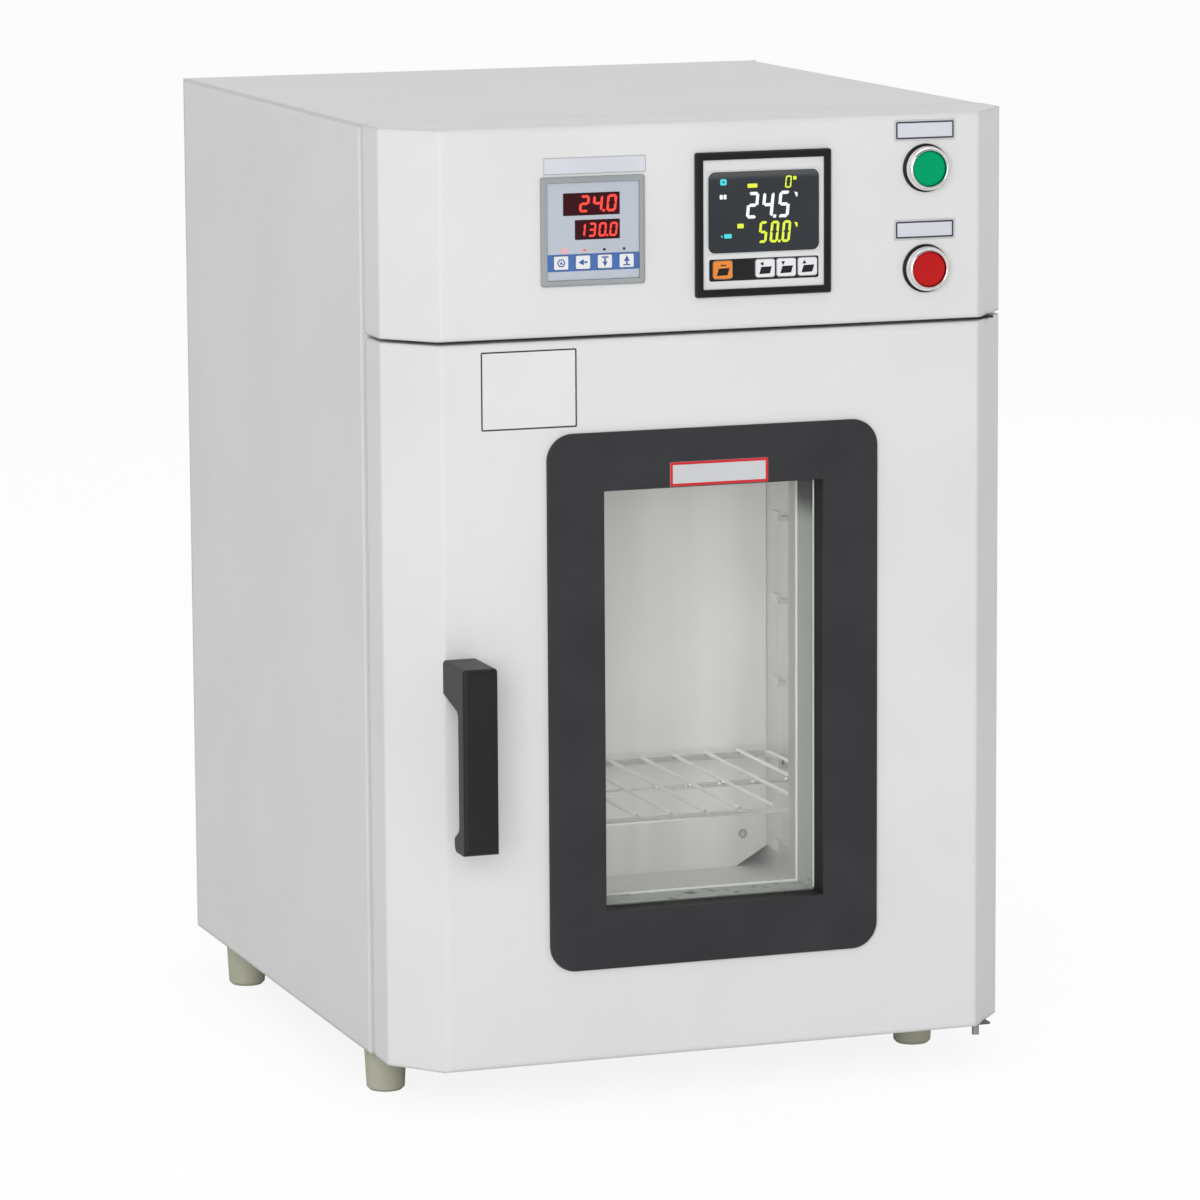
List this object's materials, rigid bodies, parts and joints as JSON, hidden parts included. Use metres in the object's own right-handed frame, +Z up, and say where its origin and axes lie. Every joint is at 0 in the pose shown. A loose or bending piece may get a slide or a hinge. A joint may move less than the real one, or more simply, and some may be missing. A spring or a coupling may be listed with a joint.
{
  "type": "forced_air_drying_oven",
  "caption": "Bench-top forced-air drying oven: tall box cabinet with bevelled control head, glazed side-hung door with a hanging lever handle, two square controllers and two push-buttons",
  "frame": {"origin": "middle of the whole outline seen from above, on the surface the feet stand on", "axes": "+Z up, +X to the right seen from the front, the door faces -Y"},
  "size_m": [0.444, 0.567, 0.658],
  "materials": {
    "light_grey_paint": "satin",
    "zinc_steel": "satin",
    "stainless": "brushed",
    "steel_rod": "polished",
    "cast_aluminium": "satin",
    "bronze": "satin",
    "mineral_wool": "matte",
    "silicone": "matte",
    "foot_rubber": "matte",
    "glass": "clear",
    "spacer_grey_green": "matte",
    "charcoal_plastic": "fine grain",
    "black_plastic": "satin",
    "silver_face": "satin",
    "dark_display": "gloss",
    "orange_key": "satin",
    "white_key": "satin",
    "mid_grey_plastic": "satin",
    "blue_grey_face": "satin",
    "bright_ring": "polished",
    "green_cap": "gloss",
    "red_cap": "gloss",
    "motor_enamel": "satin",
    "beige_plastic": "matte"
  },
  "bodies": {
    "cabinet": {"outer_casing": "light_grey_paint", "rear_panel": "light_grey_paint", "base_plate": "zinc_steel", "front_frame": "stainless", "rubber_feet": "foot_rubber", "casing_screws": "zinc_steel", "chamber_liner": "stainless", "insulation": "mineral_wool", "air_baffle": "stainless", "shelf_racks": "stainless", "wire_shelf": "steel_rod", "fan_motor": "motor_enamel", "motor_bulkhead": "zinc_steel", "heater_element": "steel_rod", "vent_tube": "stainless", "cable_gland": "black_plastic", "temperature_probes": "steel_rod", "head_shell": "light_grey_paint", "electrics_tray": "zinc_steel", "contactor": "black_plastic", "solid_state_relay": "cast_aluminium", "terminal_block": "beige_plastic", "main_controller_case": "black_plastic", "main_controller_face": "silver_face", "main_controller_lens": "dark_display", "limit_controller_case": "mid_grey_plastic", "limit_controller_face": "blue_grey_face", "start_button_bezel": "bright_ring", "start_button_block": "black_plastic", "stop_button_bezel": "bright_ring", "stop_button_block": "black_plastic", "striker_plate": "stainless", "hinge_brackets": "zinc_steel", "hinge_pins": "steel_rod"},
    "fan": {"fan_impeller": "cast_aluminium", "motor_shaft": "steel_rod"},
    "door": {"door_shell": "light_grey_paint", "door_inner_panel": "stainless", "door_insulation": "mineral_wool", "door_gasket": "silicone", "window_frame": "charcoal_plastic", "outer_glass": "glass", "inner_glass": "glass", "glass_spacer": "spacer_grey_green", "door_bushes": "bronze"},
    "handle": {"door_handle": "black_plastic", "handle_spindle": "steel_rod", "latch_bar": "zinc_steel"},
    "start_button_cap": {"start_button_cap": "green_cap"},
    "stop_button_cap": {"stop_button_cap": "red_cap"},
    "vent_damper": {"vent_damper": "stainless"},
    "main_key_1": {"main_key_1": "orange_key"},
    "main_key_2": {"main_key_2": "white_key"},
    "main_key_3": {"main_key_3": "white_key"},
    "main_key_4": {"main_key_4": "white_key"},
    "limit_key_1": {"limit_key_1": "white_key"},
    "limit_key_2": {"limit_key_2": "white_key"},
    "limit_key_3": {"limit_key_3": "white_key"},
    "limit_key_4": {"limit_key_4": "white_key"}
  },
  "joints": [
    {"name": "fan_spin", "type": "hinge", "parent": "cabinet", "child": "fan", "pos_m": [0, 0.0815, 0.39], "axis": [0, 1, 0], "continuous": true},
    {"name": "door_hinge", "type": "hinge", "parent": "cabinet", "child": "door", "pos_m": [0.198, -0.2205, 0.27], "axis": [0, 0, 1], "range_deg": [0, 110]},
    {"name": "handle_turn", "type": "hinge", "parent": "door", "child": "handle", "pos_m": [-0.179, -0.2395, 0.298], "axis": [0, -1, 0], "range_deg": [0, 90]},
    {"name": "damper_turn", "type": "hinge", "parent": "cabinet", "child": "vent_damper", "pos_m": [0.095, 0.2705, 0.436], "axis": [0, 1, 0], "range_deg": [0, 60]},
    {"name": "start_button_press", "type": "slide", "parent": "cabinet", "child": "start_button_cap", "axis": [0, 1, 0], "range_m": [0, 0.004], "stiffness_N_per_m": 500, "springref_m": -0.001},
    {"name": "stop_button_press", "type": "slide", "parent": "cabinet", "child": "stop_button_cap", "axis": [0, 1, 0], "range_m": [0, 0.004], "stiffness_N_per_m": 500, "springref_m": -0.001},
    {"name": "main_key_1_press", "type": "slide", "parent": "cabinet", "child": "main_key_1", "axis": [0, 1, 0], "range_m": [0, 0.0008], "stiffness_N_per_m": 800, "springref_m": -0.0003},
    {"name": "main_key_2_press", "type": "slide", "parent": "cabinet", "child": "main_key_2", "axis": [0, 1, 0], "range_m": [0, 0.0008], "stiffness_N_per_m": 800, "springref_m": -0.0003},
    {"name": "main_key_3_press", "type": "slide", "parent": "cabinet", "child": "main_key_3", "axis": [0, 1, 0], "range_m": [0, 0.0008], "stiffness_N_per_m": 800, "springref_m": -0.0003},
    {"name": "main_key_4_press", "type": "slide", "parent": "cabinet", "child": "main_key_4", "axis": [0, 1, 0], "range_m": [0, 0.0008], "stiffness_N_per_m": 800, "springref_m": -0.0003},
    {"name": "limit_key_1_press", "type": "slide", "parent": "cabinet", "child": "limit_key_1", "axis": [0, 1, 0], "range_m": [0, 0.0008], "stiffness_N_per_m": 800, "springref_m": -0.0003},
    {"name": "limit_key_2_press", "type": "slide", "parent": "cabinet", "child": "limit_key_2", "axis": [0, 1, 0], "range_m": [0, 0.0008], "stiffness_N_per_m": 800, "springref_m": -0.0003},
    {"name": "limit_key_3_press", "type": "slide", "parent": "cabinet", "child": "limit_key_3", "axis": [0, 1, 0], "range_m": [0, 0.0008], "stiffness_N_per_m": 800, "springref_m": -0.0003},
    {"name": "limit_key_4_press", "type": "slide", "parent": "cabinet", "child": "limit_key_4", "axis": [0, 1, 0], "range_m": [0, 0.0008], "stiffness_N_per_m": 800, "springref_m": -0.0003}
  ]
}
